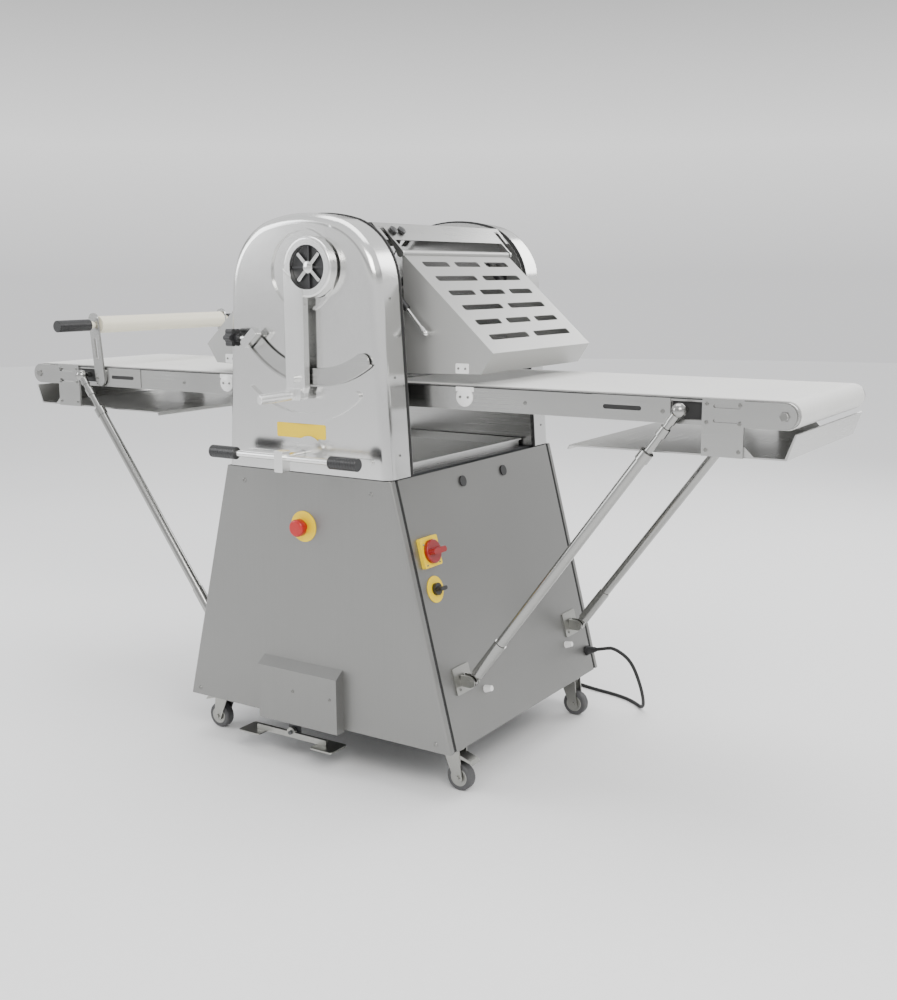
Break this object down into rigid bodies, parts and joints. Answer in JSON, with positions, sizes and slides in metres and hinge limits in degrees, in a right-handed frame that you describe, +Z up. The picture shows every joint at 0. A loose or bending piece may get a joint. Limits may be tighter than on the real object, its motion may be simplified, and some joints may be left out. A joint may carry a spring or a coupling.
{
  "type": "dough sheeter",
  "caption": "Reversible dough sheeter on casters: a tapered base, two polished casings with sheeting rollers, folding belt tables, slotted guards, lever and pedal controls.",
  "frame": {"origin": "on the floor under the middle of the machine's outline", "axes": "+X along the tables to the operator's right, -Y towards the operator, +Z up"},
  "size_m": [2.1698, 0.9876, 1.2875],
  "materials": {
    "panel_steel": "satin brushed",
    "polished_steel": "mirror polished",
    "rail_steel": "brushed",
    "belt_white": "coated polyester belt",
    "pin_white": "smooth",
    "black_rubber": "matt",
    "black_plastic": "moulded",
    "white_plastic": "moulded",
    "guard_steel": "satin silver",
    "yellow_plate": "gloss",
    "red_plastic": "gloss",
    "dark_red_plastic": "gloss",
    "roller_chrome": "ground and polished",
    "motor_grey": "painted",
    "frame_steel": "dark paint",
    "zinc_steel": "zinc plated",
    "wheel_rubber": "matt"
  },
  "bodies": {
    "chassis": {"base_frame": "frame_steel", "front_panel": "panel_steel", "rear_panel": "panel_steel", "side_panels": "panel_steel", "rubber_seals": "black_rubber", "pedal_cover": "panel_steel", "strut_brackets": "zinc_steel", "panel_buffers": "white_plastic", "hole_plugs": "black_plastic", "front_casing": "polished_steel", "rear_casing": "polished_steel", "inner_plates": "rail_steel", "top_cover": "panel_steel", "flour_tray": "rail_steel", "arc_rail": "polished_steel", "control_plates": "yellow_plate", "drive_motor": "motor_grey", "cord_gland": "black_plastic", "power_cord": "black_rubber", "cord_coil": "black_rubber", "power_plug": "black_plastic"},
    "lower_roller": {"lower_roller": "roller_chrome"},
    "upper_roller": {"upper_roller": "roller_chrome"},
    "roller_carriage": {"roller_carriage": "zinc_steel"},
    "thickness_lever": {"thickness_lever": "polished_steel", "thickness_dial": "black_plastic"},
    "stop_clamp": {"stop_clamp": "polished_steel"},
    "star_knob": {"star_knob": "black_plastic"},
    "rolling_pin": {"rolling_pin": "pin_white"},
    "direction_handle": {"direction_handle": "polished_steel"},
    "foot_pedal": {"foot_pedal": "zinc_steel"},
    "estop_button": {"estop_button": "red_plastic"},
    "isolator_knob": {"isolator_knob": "dark_red_plastic"},
    "selector_knob": {"selector_knob": "black_plastic"},
    "right_table": {"right_table_frame": "rail_steel", "right_belt": "belt_white", "right_catch_pan": "panel_steel"},
    "right_guard": {"right_guard": "guard_steel"},
    "right_strut_tubes": {"right_strut_tubes": "rail_steel"},
    "right_strut_rods": {"right_strut_rods": "rail_steel"},
    "right_stay_cylinders": {"right_stay_cylinders": "black_plastic"},
    "right_stay_rods": {"right_stay_rods": "polished_steel"},
    "right_end_roller": {"right_end_roller": "roller_chrome"},
    "left_table": {"left_table_frame": "rail_steel", "left_belt": "belt_white", "left_catch_pan": "panel_steel"},
    "left_guard": {"left_guard": "guard_steel"},
    "left_strut_tubes": {"left_strut_tubes": "rail_steel"},
    "left_strut_rods": {"left_strut_rods": "rail_steel"},
    "left_stay_cylinders": {"left_stay_cylinders": "black_plastic"},
    "left_stay_rods": {"left_stay_rods": "polished_steel"},
    "left_end_roller": {"left_end_roller": "roller_chrome"},
    "front_right_caster_fork": {"front_right_caster_fork": "zinc_steel"},
    "front_right_caster_wheel": {"front_right_caster_wheel": "wheel_rubber"},
    "front_left_caster_fork": {"front_left_caster_fork": "zinc_steel"},
    "front_left_caster_wheel": {"front_left_caster_wheel": "wheel_rubber"},
    "rear_right_caster_fork": {"rear_right_caster_fork": "zinc_steel"},
    "rear_right_caster_wheel": {"rear_right_caster_wheel": "wheel_rubber"},
    "rear_left_caster_fork": {"rear_left_caster_fork": "zinc_steel"},
    "rear_left_caster_wheel": {"rear_left_caster_wheel": "wheel_rubber"}
  },
  "joints": [
    {"name": "right_table_fold", "type": "hinge", "parent": "chassis", "child": "right_table", "pos_m": [0.135, 0.05475, 0.885], "axis": [0, -1, 0], "range_deg": [0, 66]},
    {"name": "right_guard_swing", "type": "hinge", "parent": "chassis", "child": "right_guard", "pos_m": [0.183, 0.05475, 1.197], "axis": [0, -1, 0], "range_deg": [0, 148.5]},
    {"name": "right_strut_swing", "type": "hinge", "parent": "chassis", "child": "right_strut_tubes", "pos_m": [0.384, 0.05475, 0.253], "axis": [0, -1, 0], "range_deg": [0, 34.87]},
    {"name": "right_strut_slide", "type": "slide", "parent": "right_strut_tubes", "child": "right_strut_rods", "axis": [0.5974, 0, 0.802], "range_m": [0, 0.5027]},
    {"name": "right_stay_swing", "type": "hinge", "parent": "chassis", "child": "right_stay_cylinders", "pos_m": [0.118, 0.05475, 1.17], "axis": [0, -1, 0], "range_deg": [0, 113.77]},
    {"name": "right_stay_slide", "type": "slide", "parent": "right_stay_cylinders", "child": "right_stay_rods", "axis": [0.6871, 0, -0.7266], "range_m": [0, 0.0344]},
    {"name": "right_end_roller_spin", "type": "hinge", "parent": "right_table", "child": "right_end_roller", "pos_m": [1.057, 0.05475, 0.885], "axis": [0, 1, 0], "continuous": true},
    {"name": "left_table_fold", "type": "hinge", "parent": "chassis", "child": "left_table", "pos_m": [-0.135, 0.05475, 0.885], "axis": [0, 1, 0], "range_deg": [0, 66]},
    {"name": "left_guard_swing", "type": "hinge", "parent": "chassis", "child": "left_guard", "pos_m": [-0.183, 0.05475, 1.197], "axis": [0, 1, 0], "range_deg": [0, 148.5]},
    {"name": "left_strut_swing", "type": "hinge", "parent": "chassis", "child": "left_strut_tubes", "pos_m": [-0.384, 0.05475, 0.253], "axis": [0, 1, 0], "range_deg": [0, 34.87]},
    {"name": "left_strut_slide", "type": "slide", "parent": "left_strut_tubes", "child": "left_strut_rods", "axis": [-0.5974, 0, 0.802], "range_m": [0, 0.5027]},
    {"name": "left_stay_swing", "type": "hinge", "parent": "chassis", "child": "left_stay_cylinders", "pos_m": [-0.118, 0.05475, 1.17], "axis": [0, 1, 0], "range_deg": [0, 113.77]},
    {"name": "left_stay_slide", "type": "slide", "parent": "left_stay_cylinders", "child": "left_stay_rods", "axis": [-0.6871, 0, -0.7266], "range_m": [0, 0.0344]},
    {"name": "left_end_roller_spin", "type": "hinge", "parent": "left_table", "child": "left_end_roller", "pos_m": [-1.057, 0.05475, 0.885], "axis": [0, 1, 0], "continuous": true},
    {"name": "lower_roller_spin", "type": "hinge", "parent": "chassis", "child": "lower_roller", "pos_m": [0, 0.05475, 0.866], "axis": [0, 1, 0], "continuous": true},
    {"name": "thickness_lever_swing", "type": "hinge", "parent": "chassis", "child": "thickness_lever", "pos_m": [0.045, -0.32325, 1.167], "axis": [0, -1, 0], "range_deg": [-20, 38]},
    {"name": "roller_gap", "type": "slide", "parent": "chassis", "child": "roller_carriage", "axis": [0, 0, 1], "range_m": [-0.0135, 0.0255]},
    {"name": "upper_roller_spin", "type": "hinge", "parent": "roller_carriage", "child": "upper_roller", "pos_m": [0, 0.05475, 0.976], "axis": [0, 1, 0], "continuous": true},
    {"name": "stop_clamp_slide", "type": "hinge", "parent": "chassis", "child": "stop_clamp", "pos_m": [0.045, -0.32325, 1.167], "axis": [0, -1, 0], "range_deg": [0, 8]},
    {"name": "star_knob_turn", "type": "hinge", "parent": "stop_clamp", "child": "star_knob", "pos_m": [-0.1289, -0.33325, 1.01042], "axis": [-1, 0, 0], "continuous": true},
    {"name": "rolling_pin_spin", "type": "hinge", "parent": "left_table", "child": "rolling_pin", "pos_m": [-0.815, 0.05475, 1.023], "axis": [0, 1, 0], "continuous": true},
    {"name": "direction_rock", "type": "hinge", "parent": "chassis", "child": "direction_handle", "pos_m": [0, -0.38725, 0.753], "axis": [0, 1, 0], "range_deg": [-12, 12]},
    {"name": "pedal_rock", "type": "hinge", "parent": "chassis", "child": "foot_pedal", "pos_m": [-0.065, -0.30625, 0.072], "axis": [0, 1, 0], "range_deg": [-8.1, 8.1]},
    {"name": "estop_press", "type": "slide", "parent": "chassis", "child": "estop_button", "axis": [0, 1, 0], "range_m": [0, 0.004], "stiffness_N_per_m": 1500},
    {"name": "isolator_turn", "type": "hinge", "parent": "chassis", "child": "isolator_knob", "pos_m": [0.28215, -0.22925, 0.542], "axis": [0.9689, 0, 0.2475], "range_deg": [0, 90]},
    {"name": "selector_turn", "type": "hinge", "parent": "chassis", "child": "selector_knob", "pos_m": [0.3031, -0.23325, 0.46], "axis": [0.9689, 0, 0.2475], "range_deg": [-45, 45]},
    {"name": "front_right_caster_swivel", "type": "hinge", "parent": "chassis", "child": "front_right_caster_fork", "pos_m": [0.348, -0.22825, 0.1], "axis": [0, 0, 1], "continuous": true},
    {"name": "front_right_wheel_spin", "type": "hinge", "parent": "front_right_caster_fork", "child": "front_right_caster_wheel", "pos_m": [0.368, -0.22825, 0.032], "axis": [0, 1, 0], "continuous": true},
    {"name": "front_left_caster_swivel", "type": "hinge", "parent": "chassis", "child": "front_left_caster_fork", "pos_m": [-0.348, -0.22825, 0.1], "axis": [0, 0, 1], "continuous": true},
    {"name": "front_left_wheel_spin", "type": "hinge", "parent": "front_left_caster_fork", "child": "front_left_caster_wheel", "pos_m": [-0.368, -0.22825, 0.032], "axis": [0, 1, 0], "continuous": true},
    {"name": "rear_right_caster_swivel", "type": "hinge", "parent": "chassis", "child": "rear_right_caster_fork", "pos_m": [0.348, 0.33775, 0.1], "axis": [0, 0, 1], "continuous": true},
    {"name": "rear_right_wheel_spin", "type": "hinge", "parent": "rear_right_caster_fork", "child": "rear_right_caster_wheel", "pos_m": [0.368, 0.33775, 0.032], "axis": [0, 1, 0], "continuous": true},
    {"name": "rear_left_caster_swivel", "type": "hinge", "parent": "chassis", "child": "rear_left_caster_fork", "pos_m": [-0.348, 0.33775, 0.1], "axis": [0, 0, 1], "continuous": true},
    {"name": "rear_left_wheel_spin", "type": "hinge", "parent": "rear_left_caster_fork", "child": "rear_left_caster_wheel", "pos_m": [-0.368, 0.33775, 0.032], "axis": [0, 1, 0], "continuous": true}
  ],
  "couplings": [
    {"joint": "right_guard_swing", "follows": "right_table_fold", "ratio": 2.2424},
    {"joint": "right_strut_swing", "follows": "right_table_fold", "ratio": 0.52764},
    {"joint": "right_strut_slide", "follows": "right_table_fold", "m_per_rad": 0.43551},
    {"joint": "right_stay_swing", "follows": "right_table_fold", "ratio": 1.7086},
    {"joint": "right_stay_slide", "follows": "right_table_fold", "m_per_rad": 0.027257},
    {"joint": "left_guard_swing", "follows": "left_table_fold", "ratio": 2.2424},
    {"joint": "left_strut_swing", "follows": "left_table_fold", "ratio": 0.52764},
    {"joint": "left_strut_slide", "follows": "left_table_fold", "m_per_rad": 0.43551},
    {"joint": "left_stay_swing", "follows": "left_table_fold", "ratio": 1.7086},
    {"joint": "left_stay_slide", "follows": "left_table_fold", "m_per_rad": 0.027257},
    {"joint": "roller_gap", "follows": "thickness_lever_swing", "m_per_rad": 0.0376},
    {"joint": "upper_roller_spin", "follows": "lower_roller_spin", "ratio": -1},
    {"joint": "right_end_roller_spin", "follows": "lower_roller_spin", "ratio": 1.7308},
    {"joint": "left_end_roller_spin", "follows": "lower_roller_spin", "ratio": 1.7308},
    {"joint": "pedal_rock", "follows": "direction_rock", "ratio": 0.66667}
  ]
}
